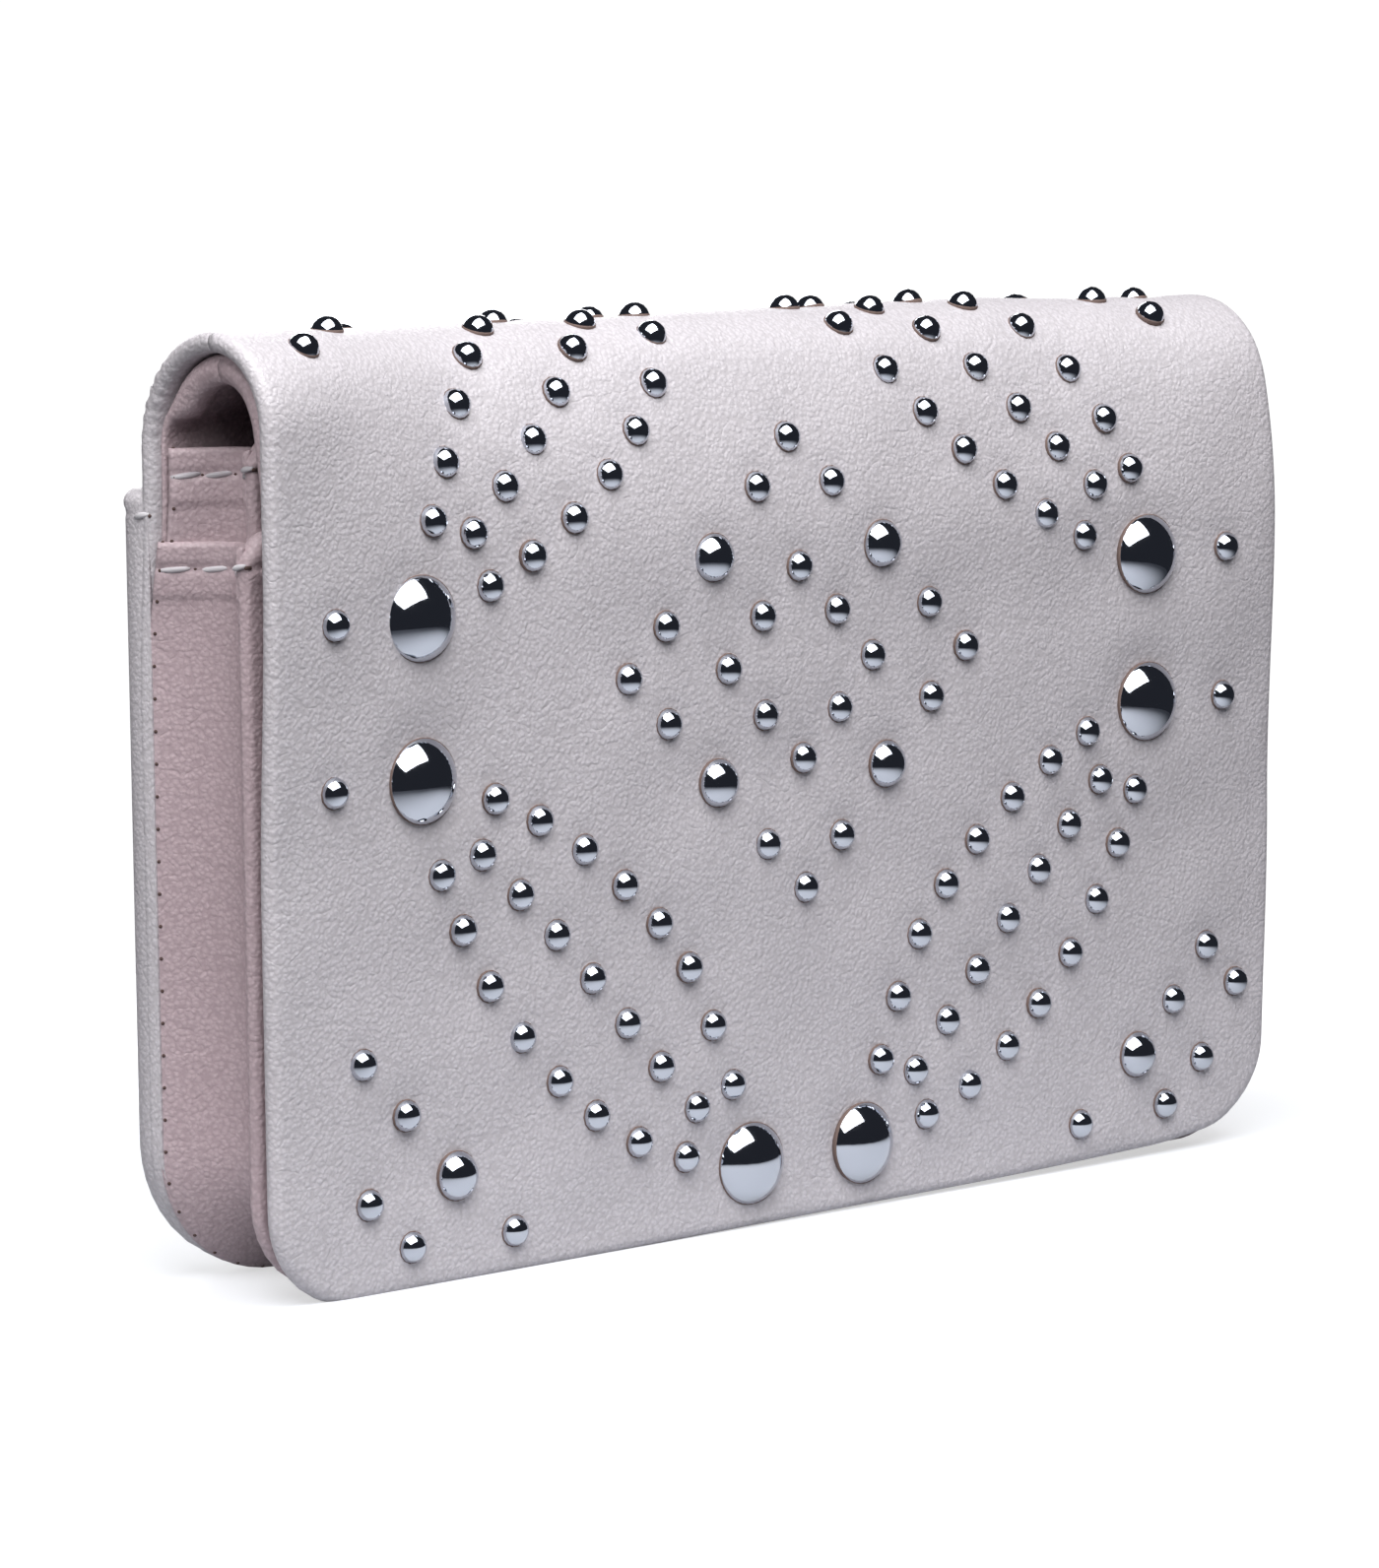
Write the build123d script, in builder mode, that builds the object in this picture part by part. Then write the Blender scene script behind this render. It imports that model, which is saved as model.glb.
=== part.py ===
from build123d import *
from math import asin, cos, degrees, radians, sin
import os

# A studded flap wallet, standing on its bottom edges.
# X runs along its width, Y from the front of the flap to the back, and Z up.
# The origin is on the resting surface, in the middle of the width and of the depth over the studs.

# Driving sizes, in millimetres and degrees
width = 175.0               # flap and back, across
height = 117.0              # crown of the fold above the resting surface
shell_depth = 26.0          # front face of the flap to the outer face of the back
corner_radius = 12.0        # bottom corners of the flap and the pouch
leather = 1.2               # outer leather
padding = 1.4               # foam or board behind the leather
lining = 0.8                # lining leather
lean_radius = 55.0          # long curve where the flap leans back below the crown
lean_angle = 26.0           # how far that curve turns
crown_front_radius = 12.2   # front half of the crown
front_fold_angle = 7.3      # the front fold line is this far past the long curve
back_fold_drop = 1.8        # the back fold line is this far below the crown's curve
fold_gap = 0.4              # space left at each fold line, so that the halves can turn
flap_lift = 0.6             # the closed flap hangs this far above the resting surface
lining_margin = 1.6         # leather turned round the edge, outside the lining

outer_panel_gap = 1.8       # flap lining to outer front panel
outer_panel = 1.6           # thickness of the outer front panel
outer_panel_drop = 23.0      # crown to the top edge of the outer front panel
outer_margin = 1.5          # edge of the shell to the outer pouch
outer_gusset_drop = 25.0
outer_fold = 3.6            # how far the outer gusset folds in
slip_gap = 1.2              # outer front panel to inner front panel
inner_panel = 1.4
inner_panel_drop = 12.0
inner_margin = 5.0          # edge of the shell to the inner pouch
inner_bottom = 2.6          # lowest point of the inner pouch
inner_gusset_drop = 2.3      # back fold line to the top edge of the inner gusset
inner_fold = 6.0
gusset_sheet = 0.9

zip_wall = 0.7              # each wall of the zip pocket
zip_pocket_room = 1.4       # between those walls
front_room = 4.3            # inner front panel to zip pocket
zip_pocket_drop = 21.0
zip_end_margin = 8.0        # end of the zip pocket to the last tooth
tape = 0.5                  # thickness of the zip tape
tape_drop = 8.0             # tape sewn inside the walls
tooth_length = 0.9          # along the zip
tooth_pitch = 1.5
tooth_width = 2.4           # across the zip
tooth_height = 1.2
slider_length = 8.0
slider_width = 5.4
slider_height = 3.4
slider_clearance = 0.3
pull_length = 7.5
pull_width = 4.4
pull_thickness = 1.0
pull_hole_radius = 0.9
bridge_radius = 0.6
bridge_lift = 1.2           # bridge above the slider, so that the pull clears it

card_sheet = 0.5            # thickness of a card pocket panel
card_count = 3
card_drop = 43.0            # crown to the top edge of the tallest card pocket
card_step = 11.0            # each next pocket is this much lower
card_margin = 12.0          # edge of the shell to the card pockets
card_bottom = 9.0

pocket_panel = 1.4          # slip pocket on the back
pocket_gap = 1.6            # space between the slip pocket and the back
pocket_drop = 20.0
pocket_seam = 5.0           # sewn welt along the slip pocket's edge
pocket_margin = 0.3

snap_height = 30.0          # centre of the magnetic snap
snap_radius = 8.0
snap_disc = 1.5             # thickness of the socket half
snap_plate = 0.8            # thickness of the stud half's plate
snap_boss_radius = 2.2
snap_boss = 1.2
snap_clearance = 0.4
washer_radius = 6.5
washer = 0.4

pattern_drop = 44.8         # crown to the middle of the stud pattern
shank_radius = 0.5          # shank that goes through the leather
small_stud = (2.0, 2.0)     # radius and height of each size of dome
medium_stud = (3.1, 2.6)
large_stud = (5.0, 3.2)
stud_rim = 0.4              # straight rim under each dome
stud_sink = 0.15            # how far a rim is pressed into the leather

# Worked out from the sizes above
wall = leather + padding + lining
lean_start = height - crown_front_radius * (1 - sin(radians(lean_angle))) - lean_radius * sin(radians(lean_angle))
lean_back = lean_radius * (1 - cos(radians(lean_angle)))
crown_y = lean_back + crown_front_radius * cos(radians(lean_angle))
crown_back_radius = shell_depth - crown_y
crown_end = height - crown_back_radius
back_fold_z = crown_end - back_fold_drop
front_fold_turn = lean_angle + front_fold_angle
front_gap_turn = degrees(fold_gap / 2 / crown_front_radius)
back_inner = shell_depth - wall
outer_panel_y = wall + outer_panel_gap
outer_panel_back = outer_panel_y + outer_panel
inner_panel_y = outer_panel_back + slip_gap
inner_panel_back = inner_panel_y + inner_panel
zip_y = inner_panel_back + front_room
zip_back = zip_y + 2 * zip_wall + zip_pocket_room
zip_middle = (zip_y + zip_back) / 2
half_width = width / 2
inner_half = half_width - inner_margin
zip_half = inner_half - inner_fold - gusset_sheet
zip_bottom = inner_bottom + inner_fold + gusset_sheet
back_face = shell_depth + pocket_gap + pocket_panel
front_y = (large_stud[1] - back_face) / 2    # puts the origin midway between studs and slip pocket
outer_panel_top = height - outer_panel_drop
outer_gusset_top = height - outer_gusset_drop
inner_panel_top = height - inner_panel_drop
inner_gusset_top = back_fold_z - inner_gusset_drop
zip_pocket_top = height - zip_pocket_drop
pocket_top = height - pocket_drop
pattern_centre = height - pattern_drop

# Everything is drawn with the flap's front face at Y = 0 and moved by front_y at the end.
shift = Location((0, front_y, 0))
os.makedirs("parts", exist_ok=True)


def save(part, name):
    """Move a finished piece to its place in the wallet's frame, label it and write it."""
    placed = part.moved(shift)
    placed.label = name
    export_step(placed, "parts/" + name + ".step")


def polar(centre, radius, angle):
    return (centre[0] + radius * cos(radians(angle)), centre[1] + radius * sin(radians(angle)))


# The shell's section, in the YZ plane. Each line runs at a depth below the outer face.
lean_centre = (lean_radius, lean_start)
front_centre = (crown_y, height - crown_front_radius)
back_centre = (crown_y, height - crown_back_radius)
flap_end = 180 - front_fold_turn + front_gap_turn
crown_begin = 180 - front_fold_turn - front_gap_turn


def flap_line(depth):
    """Front face, long lean, and the start of the crown. Returns both ends."""
    Line((depth, 0), (depth, lean_start))
    CenterArc(lean_centre, lean_radius - depth, 180, -lean_angle)
    CenterArc(front_centre, crown_front_radius - depth, 180 - lean_angle, flap_end - (180 - lean_angle))
    return (depth, 0), polar(front_centre, crown_front_radius - depth, flap_end)


def crown_line(depth):
    """Over the crown and down to the back fold. Returns both ends."""
    CenterArc(front_centre, crown_front_radius - depth, crown_begin, 90 - crown_begin)
    CenterArc(back_centre, crown_back_radius - depth, 90, -90)
    end = (shell_depth - depth, back_fold_z + fold_gap / 2)
    Line((shell_depth - depth, crown_end), end)
    return polar(front_centre, crown_front_radius - depth, crown_begin), end


def back_line(depth):
    """Straight down the back. Returns both ends."""
    start = (shell_depth - depth, back_fold_z - fold_gap / 2)
    end = (shell_depth - depth, 0)
    Line(start, end)
    return start, end


def band(line, outside, inside, half):
    """A layer of the shell between two depths, drawn out to half the width each way."""
    with BuildPart() as layer:
        with BuildSketch(Plane.YZ):
            with BuildLine():
                outer_start, outer_end = line(outside)
                inner_start, inner_end = line(inside)
                Line(outer_start, inner_start)
                Line(outer_end, inner_end)
            make_face()
        extrude(amount=half, both=True)
    return layer.part


def plate(y_front, thickness, half, bottom, top, radius):
    """An upright plate with two rounded bottom corners."""
    with BuildPart() as upright:
        with BuildSketch(Plane.XZ.offset(-y_front)):
            with Locations((0, (bottom + top) / 2)):
                Rectangle(2 * half, top - bottom)
            fillet(vertices().group_by(Axis.Y)[0], radius)
        extrude(amount=-thickness)
    return upright.part


def trimmed(layer, bottom, inset):
    """The layer with the shell's rounded bottom corners, inset from its edge."""
    window = plate(-1, shell_depth + 2, half_width - inset, bottom + inset, height + 1, corner_radius - inset)
    return layer & window


# Back of the shell: leather turned over a board, and a lining
with BuildPart() as back_board:
    add(trimmed(band(back_line, leather, leather + padding, half_width), 0, leather))
save(back_board.part, "back_board")

with BuildPart() as back_leather:
    add(trimmed(band(back_line, 0, leather + padding, half_width), 0, 0))
    add(back_board.part, mode=Mode.SUBTRACT)
save(back_leather.part, "back_leather")

with BuildPart() as back_lining:
    add(trimmed(band(back_line, leather + padding, wall, half_width), 0, lining_margin))
save(back_lining.part, "back_lining")

# Crown: leather, foam and lining between the two folds
with BuildPart() as crown_foam:
    add(band(crown_line, leather, leather + padding, half_width - leather))
save(crown_foam.part, "crown_foam")

with BuildPart() as crown_leather:
    add(band(crown_line, 0, leather + padding, half_width))
    add(crown_foam.part, mode=Mode.SUBTRACT)
save(crown_leather.part, "crown_leather")

with BuildPart() as crown_lining:
    add(band(crown_line, leather + padding, wall, half_width - lining_margin))
save(crown_lining.part, "crown_lining")

# Flap: leather turned over foam, and a lining with a seat for the snap
with BuildPart() as flap_foam:
    add(trimmed(band(flap_line, leather, leather + padding, half_width), flap_lift, leather))
    with Locations(Plane((0, leather + padding, snap_height), z_dir=(0, -1, 0))):
        Cylinder(washer_radius + snap_clearance, washer, align=(Align.CENTER, Align.CENTER, Align.MIN), mode=Mode.SUBTRACT)
save(flap_foam.part, "flap_foam")

with BuildPart() as flap_leather:
    add(trimmed(band(flap_line, 0, leather + padding, half_width), flap_lift, 0))
    add(trimmed(band(flap_line, leather, leather + padding, half_width), flap_lift, leather), mode=Mode.SUBTRACT)
save(flap_leather.part, "flap_leather")

with BuildPart() as flap_lining:
    add(trimmed(band(flap_line, leather + padding, wall, half_width), flap_lift, lining_margin))
    with Locations(Plane((0, wall, snap_height), z_dir=(0, -1, 0))):
        Cylinder(snap_radius, lining, align=(Align.CENTER, Align.CENTER, Align.MIN), mode=Mode.SUBTRACT)
save(flap_lining.part, "flap_lining")

# Slip pocket on the back, sewn along a welt on three sides
pocket_half = half_width - pocket_margin
with BuildPart() as back_slip_pocket:
    add(plate(shell_depth, pocket_gap + pocket_panel, pocket_half, pocket_margin, pocket_top, corner_radius))
    slot_half = pocket_half - pocket_seam
    slot_bottom = pocket_margin + pocket_seam
    slot_radius = corner_radius - pocket_seam
    add(plate(shell_depth, pocket_gap, slot_half, slot_bottom, pocket_top, slot_radius), mode=Mode.SUBTRACT)
save(back_slip_pocket.part, "back_slip_pocket")

# Outer and inner front panels
outer_half = half_width - outer_margin
socket_plane = Plane((0, outer_panel_y, snap_height), z_dir=(0, -1, 0))
with BuildPart() as outer_front_panel:
    add(plate(outer_panel_y, outer_panel, outer_half, 0, outer_panel_top, corner_radius - outer_margin))
    with Locations(socket_plane):
        Cylinder(snap_boss_radius + snap_clearance, 2 * outer_panel, mode=Mode.SUBTRACT)
save(outer_front_panel.part, "outer_front_panel")

inner_radius = corner_radius - inner_margin + 2
with BuildPart() as inner_front_panel:
    add(plate(inner_panel_y, inner_panel, inner_half, inner_bottom, inner_panel_top, inner_radius))
save(inner_front_panel.part, "inner_front_panel")


def folded_block(y_start, y_stop, y_land, y_land_stop, half, bottom, top, radius, fold):
    """A block whose sides and floor fold in to a flat land between y_land and y_land_stop."""
    land_half = half - fold
    land_bottom = bottom + fold
    land_radius = max(radius - fold, radius / 4)
    with BuildPart() as block:
        for y_wide, y_narrow in ((y_start, y_land), (y_stop, y_land_stop)):
            with BuildSketch(Plane.XZ.offset(-y_wide)):
                with Locations((0, (bottom + top) / 2)):
                    Rectangle(2 * half, top - bottom)
                fillet(vertices().group_by(Axis.Y)[0], radius)
            with BuildSketch(Plane.XZ.offset(-y_narrow)):
                with Locations((0, (land_bottom + top) / 2)):
                    Rectangle(2 * land_half, top - land_bottom)
                fillet(vertices().group_by(Axis.Y)[0], land_radius)
            loft()
        add(plate(y_land, y_land_stop - y_land, land_half, land_bottom, top, land_radius))
    return block.part


def gusset(y_start, y_land, y_land_stop, half, bottom, top, radius, fold):
    """One strip up both sides and across the floor, folded in along its middle."""
    sizes = (y_start, back_inner, y_land, y_land_stop)
    outside = folded_block(*sizes, half, bottom, top, radius, fold)
    thin = gusset_sheet
    inside = folded_block(*sizes, half - thin, bottom + thin, top + 1, radius - thin, fold)
    return outside - inside


outer_middle = (outer_panel_back + back_inner) / 2
with BuildPart() as outer_gusset:
    outer_radius = corner_radius - outer_margin
    add(gusset(outer_panel_back, outer_middle - 1, outer_middle + 1, outer_half, 0,
               outer_gusset_top, outer_radius, outer_fold - gusset_sheet))
save(outer_gusset.part, "outer_gusset")

with BuildPart() as inner_gusset:
    add(gusset(inner_panel_back, zip_y, zip_back, inner_half, inner_bottom, inner_gusset_top, inner_radius, inner_fold))
save(inner_gusset.part, "inner_gusset")

# Zip pocket between the two rooms of the inner pouch
for name, wall_y in (("zip_pocket_front", zip_y), ("zip_pocket_back", zip_back - zip_wall)):
    with BuildPart() as zip_pocket_wall:
        land_radius = max(inner_radius - inner_fold, inner_radius / 4)
        add(plate(wall_y, zip_wall, zip_half, zip_bottom, zip_pocket_top, land_radius))
    save(zip_pocket_wall.part, name)

tape_edge = tooth_width / 2 - slider_clearance
for name, side in (("zip_tape_front", -1), ("zip_tape_back", 1)):
    with BuildPart() as zip_tape:
        with BuildSketch(Plane.YZ):
            wall_face = zip_middle + side * zip_pocket_room / 2
            with BuildLine():
                Polyline(
                    (wall_face, zip_pocket_top - tape_drop),
                    (wall_face, zip_pocket_top),
                    (zip_middle + side * tape_edge, zip_pocket_top),
                    (zip_middle + side * tape_edge, zip_pocket_top + tape),
                    (zip_middle + side * (tape_edge - tape), zip_pocket_top + tape),
                    (wall_face - side * tape, zip_pocket_top - tape_drop),
                    close=True,
                )
            make_face()
        extrude(amount=zip_half - 1, both=True)
    save(zip_tape.part, name)

zip_run = zip_half - zip_end_margin
tooth_base = zip_pocket_top + tape
tooth_count = int(2 * zip_run / tooth_pitch)
with BuildPart() as zip_teeth:
    with Locations((0, zip_middle, tooth_base)):
        with GridLocations(tooth_pitch, 1, tooth_count, 1):
            Box(tooth_length, tooth_width, tooth_height, align=(Align.CENTER, Align.CENTER, Align.MIN))
save(zip_teeth.part, "zip_teeth")

with BuildPart() as zip_stops:
    with Locations((0, zip_middle, tooth_base)):
        with GridLocations(2 * zip_run + 4, 1, 2, 1):
            Box(1.6, tooth_width + 0.6, tooth_height + 1, align=(Align.CENTER, Align.CENTER, Align.MIN))
save(zip_stops.part, "zip_stops")

# Slider, closed at the right-hand end, with a bridge for its pull
slider_x = zip_run - slider_length / 2 - 1
slider_base = tooth_base + slider_clearance
bridge_z = tooth_base + slider_height + bridge_radius + bridge_lift
with BuildPart() as zip_slider:
    with Locations((slider_x, zip_middle, slider_base)):
        Box(slider_length, slider_width, slider_height - slider_clearance, align=(Align.CENTER, Align.CENTER, Align.MIN))
    fillet(edges().filter_by(Axis.Z), 1.2)
    with Locations((slider_x, zip_middle, tooth_base)):
        Box(slider_length, tooth_width + 2 * slider_clearance, tooth_height + slider_clearance,
            align=(Align.CENTER, Align.CENTER, Align.MIN), mode=Mode.SUBTRACT)
    post = bridge_z + bridge_radius - tooth_base - slider_height
    for side in (-1, 1):
        with Locations((slider_x, zip_middle + side * (slider_width / 2 - 0.4), tooth_base + slider_height)):
            Box(2 * bridge_radius, 0.8, post, align=(Align.CENTER, Align.CENTER, Align.MIN))
    with Locations(Plane((slider_x, zip_middle, bridge_z), z_dir=(0, 1, 0))):
        Cylinder(bridge_radius, slider_width)
save(zip_slider.part, "zip_slider")

with BuildPart() as zip_pull:
    with BuildSketch(Plane.XZ.offset(-(zip_middle - 1.3))):
        with Locations((slider_x, bridge_z)):
            Circle(pull_hole_radius + pull_thickness / 2)
        with Locations((slider_x - pull_hole_radius, bridge_z)):
            Rectangle(pull_hole_radius + 2, pull_thickness, align=(Align.MAX, Align.CENTER))
        with Locations((slider_x, bridge_z)):
            Circle(pull_hole_radius, mode=Mode.SUBTRACT)
    extrude(amount=-2.6)
    with BuildSketch(Plane.XY.offset(bridge_z - pull_thickness / 2)):
        with Locations((slider_x - pull_hole_radius - 2, zip_middle)):
            Rectangle(pull_length, pull_width, align=(Align.MAX, Align.CENTER))
        fillet(vertices(), 1.2)
    extrude(amount=pull_thickness)
save(zip_pull.part, "zip_pull")

# Card pockets on the back lining, the tallest against the lining
for number in range(card_count):
    with BuildPart() as card_panel:
        card_y = back_inner - (number + 1) * card_sheet
        card_top = height - card_drop - number * card_step
        add(plate(card_y, card_sheet, half_width - card_margin, card_bottom, card_top, 2))
    save(card_panel.part, "card_pocket_" + str(number + 1))

# Magnetic snap: the socket on the outer front panel, and the stud on the flap
snap_start = (Align.CENTER, Align.CENTER, Align.MIN)
with BuildPart() as snap_socket:
    with Locations(socket_plane):
        Cylinder(snap_radius, snap_disc, align=snap_start)
        Cylinder(snap_boss_radius + snap_clearance, 3 * snap_disc, mode=Mode.SUBTRACT)
    fillet(edges().filter_by(GeomType.CIRCLE).group_by(Axis.Y)[0].sort_by(SortBy.RADIUS)[-1], 0.5)
save(snap_socket.part, "snap_socket")

with BuildPart() as snap_socket_washer:
    with Locations(Plane((0, outer_panel_back, snap_height), z_dir=(0, 1, 0))):
        Cylinder(washer_radius, washer, align=snap_start)
        Cylinder(snap_boss_radius, 3 * washer, mode=Mode.SUBTRACT)
save(snap_socket_washer.part, "snap_socket_washer")

with BuildPart() as snap_stud:
    with Locations(Plane((0, leather + padding, snap_height), z_dir=(0, 1, 0))):
        Cylinder(snap_radius - 0.2, snap_plate, align=snap_start)
        Cylinder(snap_boss_radius, snap_plate + snap_boss, align=snap_start)
save(snap_stud.part, "snap_stud")

with BuildPart() as snap_stud_washer:
    with Locations(Plane((0, leather + padding, snap_height), z_dir=(0, -1, 0))):
        Cylinder(washer_radius, washer, align=snap_start)
save(snap_stud_washer.part, "snap_stud_washer")

# Dome studs. Each place is (distance from the middle, distance up the leather from the
# middle of the pattern). Every place repeats on the left, and a leaf repeats upside down.
leaf_inner = ((51.8, 13.2), (44.7, 16.5), (37.5, 20.8), (30.9, 25.9), (25.2, 31.3), (20.2, 37.4), (16.3, 45.1), (13.1, 52.9))
leaf_middle = ((54.1, 19.9), (48.1, 25.4), (42.3, 31.0), (36.5, 37.0), (30.8, 43.2), (25.2, 49.2), (19.3, 55.0))
leaf_outer = ((60.7, 21.8), (57.4, 28.9), (53.2, 36.2), (48.2, 42.9), (42.2, 49.0), (36.2, 53.9), (29.1, 58.1), (21.2, 61.0))
corner_small = ((73.6, 43.3), (66.9, 50.1), (73.0, 60.0), (66.4, 66.0), (49.9, 66.3))
far_small = ((77.5, 10.2),)
diamond_small = ((6.5, 23.0), (23.0, 6.2), (6.5, 6.35))
centre_small = ((0, 29.2), (0, 12.4), (29.5, 0), (12.6, 0))
diamond_medium = ((14.7, 14.4),)
corner_medium = ((59.0, 58.3),)
side_large = ((63.3, 10.0),)
end_large = ((9.9, 63.3),)
small_places = leaf_inner + leaf_middle + leaf_outer + corner_small + far_small + diamond_small + centre_small
medium_places = diamond_medium + corner_medium
large_places = side_large + end_large

lean_length = lean_radius * radians(lean_angle)
front_length = crown_front_radius * radians(90 - lean_angle)
back_length = crown_back_radius * radians(90)
crown_from = lean_start + lean_length + crown_front_radius * radians(front_fold_angle)


def shell_plane(x, along):
    """The plane that touches the outer leather at x, along the section from the bottom."""
    rest = along - lean_start
    if rest <= 0:
        return Plane((x, 0, along), x_dir=(1, 0, 0), z_dir=(0, -1, 0))
    if rest <= lean_length:
        angle = 180 - degrees(rest / lean_radius)
        centre = lean_centre
        radius = lean_radius
    elif rest <= lean_length + front_length:
        angle = 180 - lean_angle - degrees((rest - lean_length) / crown_front_radius)
        centre = front_centre
        radius = crown_front_radius
    elif rest <= lean_length + front_length + back_length:
        angle = 90 - degrees((rest - lean_length - front_length) / crown_back_radius)
        centre = back_centre
        radius = crown_back_radius
    else:
        below = rest - lean_length - front_length - back_length
        return Plane((x, shell_depth, crown_end - below), x_dir=(1, 0, 0), z_dir=(0, 1, 0))
    y, z = polar(centre, radius, angle)
    return Plane((x, y, z), x_dir=(1, 0, 0), z_dir=(0, cos(radians(angle)), sin(radians(angle))))


def repeated(places):
    """Each place with its mirror images, as (x, height along the leather)."""
    found = set()
    for x, up in places:
        for side in (-1, 1):
            for over in (-1, 1):
                found.add((side * x, pattern_centre + over * up))
    return sorted(found)


def stud_group(places, size):
    """One solid dome with its shank at every place."""
    radius, dome_height = size
    rise = dome_height - stud_rim
    sphere = (radius ** 2 + rise ** 2) / (2 * rise)
    rim_angle = degrees(asin((sphere - rise) / sphere))
    with BuildPart() as dome:
        with BuildSketch(Plane.XZ):
            with BuildLine():
                Polyline(
                    (0, dome_height),
                    (0, -leather),
                    (shank_radius, -leather),
                    (shank_radius, -stud_sink),
                    (radius, -stud_sink),
                    (radius, stud_rim),
                )
                CenterArc((0, dome_height - sphere), sphere, rim_angle, 90 - rim_angle)
            make_face()
        revolve(axis=Axis.Z)
    with BuildPart() as group:
        with Locations(*[shell_plane(x, along) for x, along in places]):
            add(dome.part)
    return group.part


for size_name, places, size in (
    ("small", small_places, small_stud),
    ("medium", medium_places, medium_stud),
    ("large", large_places, large_stud),
):
    everywhere = repeated(places)
    on_flap = [place for place in everywhere if place[1] < crown_from]
    on_crown = [place for place in everywhere if place[1] >= crown_from]
    save(stud_group(on_flap, size), size_name + "_studs_flap")
    save(stud_group(on_crown, size), size_name + "_studs_crown")
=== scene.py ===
# %% [markdown]
# # A studded flap wallet in leather
# The wallet stands on its bottom edges. One strip of padded leather runs up its back, over the crown and down
# its front as the flap. Domed studs are riveted through it in a mirrored pattern. Behind the flap are folded
# gussets, two front panels and the pockets.
# The CAD model is the frame: it says where everything is and how it moves. Here each soft piece gets its real
# surface, worked out with numpy, and each metal piece gets its real finish.

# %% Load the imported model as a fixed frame
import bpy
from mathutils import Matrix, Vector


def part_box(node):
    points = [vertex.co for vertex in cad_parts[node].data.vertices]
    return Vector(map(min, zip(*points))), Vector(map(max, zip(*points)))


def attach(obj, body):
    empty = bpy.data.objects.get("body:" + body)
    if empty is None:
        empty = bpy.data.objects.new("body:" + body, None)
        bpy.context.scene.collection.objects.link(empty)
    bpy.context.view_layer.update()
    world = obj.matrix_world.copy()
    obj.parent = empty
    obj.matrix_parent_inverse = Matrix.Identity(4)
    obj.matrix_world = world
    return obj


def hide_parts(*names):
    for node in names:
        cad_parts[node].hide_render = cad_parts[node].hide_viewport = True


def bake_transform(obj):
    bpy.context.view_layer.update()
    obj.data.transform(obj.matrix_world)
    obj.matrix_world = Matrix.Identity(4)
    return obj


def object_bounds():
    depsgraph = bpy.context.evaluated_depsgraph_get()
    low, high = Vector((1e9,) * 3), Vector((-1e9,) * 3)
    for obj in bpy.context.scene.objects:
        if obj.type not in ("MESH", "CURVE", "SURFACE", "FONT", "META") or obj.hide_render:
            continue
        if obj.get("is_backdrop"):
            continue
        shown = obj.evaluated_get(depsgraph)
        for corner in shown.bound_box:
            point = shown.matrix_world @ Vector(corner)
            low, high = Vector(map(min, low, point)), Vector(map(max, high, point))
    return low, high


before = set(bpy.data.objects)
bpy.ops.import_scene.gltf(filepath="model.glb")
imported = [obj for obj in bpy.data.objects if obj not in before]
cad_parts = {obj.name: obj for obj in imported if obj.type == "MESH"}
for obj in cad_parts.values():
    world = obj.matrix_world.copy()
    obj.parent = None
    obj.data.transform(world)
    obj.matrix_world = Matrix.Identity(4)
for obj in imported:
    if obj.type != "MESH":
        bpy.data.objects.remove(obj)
cad_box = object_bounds()

# %% Tools and the sizes that the frame gives
import bpy
import numpy as np
from mathutils import Matrix

MM = 0.001


def corner(node, which, axis):
    """One number of a CAD node's box, in mm: which is 0 for the lowest corner and 1 for the highest."""
    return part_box(node)[which][axis] / MM


def unit(v):
    """Vectors scaled to length 1."""
    return v / np.linalg.norm(v, axis=-1, keepdims=True)


FRONT = corner("flap_leather", 0, 1)        # outer face of the flap
BACK = corner("back_leather", 1, 1)         # outer face of the back
HALF = corner("crown_leather", 1, 0)        # half the width
TOP = corner("crown_leather", 1, 2)         # highest line of the crown
FLAP_BOTTOM = corner("flap_leather", 0, 2)
CORNER = 12.0                               # radius of the flap's bottom corners
BACK_CORNER = 17.0                          # the pouch's own corners are worn rounder
SHELL = 2.6                                 # outer leather and its padding
LINING = 0.8
print("flap face y", round(FRONT, 2), "back face y", round(BACK, 2), "crown z", round(TOP, 2))

# %% [markdown]
# ## The camera
# A camera is a place, a direction and a lens. A long lens from less than a metre away keeps the wallet's edges
# almost parallel. A Track To constraint could aim it, but it also has a small roll, so its axes are worked out
# from three angles.

# %% The camera
azimuth, elevation, tilt = np.radians([-41.6, 6.62, -0.74])
CAMERA_AT = (-0.5557, -0.6164, 0.1518)
LENS = 147.0
back = np.array([np.sin(azimuth) * np.cos(elevation), -np.cos(azimuth) * np.cos(elevation), np.sin(elevation)])
right = unit(np.cross(-back, [0, 0, 1]))
up = np.cross(right, -back)
right, up = np.cos(tilt) * right + np.sin(tilt) * up, -np.sin(tilt) * right + np.cos(tilt) * up
camera = bpy.data.objects.new("camera", bpy.data.cameras.new("camera"))
camera.data.lens = LENS
camera.data.clip_start, camera.data.clip_end = 0.01, 50
turned = np.eye(4)
turned[:3, :3] = np.stack([right, up, back], axis=1)
turned[:3, 3] = CAMERA_AT
camera.matrix_world = Matrix(turned.tolist())
bpy.context.scene.collection.objects.link(camera)
bpy.context.scene.camera = camera
print("camera at", CAMERA_AT, "lens", LENS, "mm")

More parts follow.
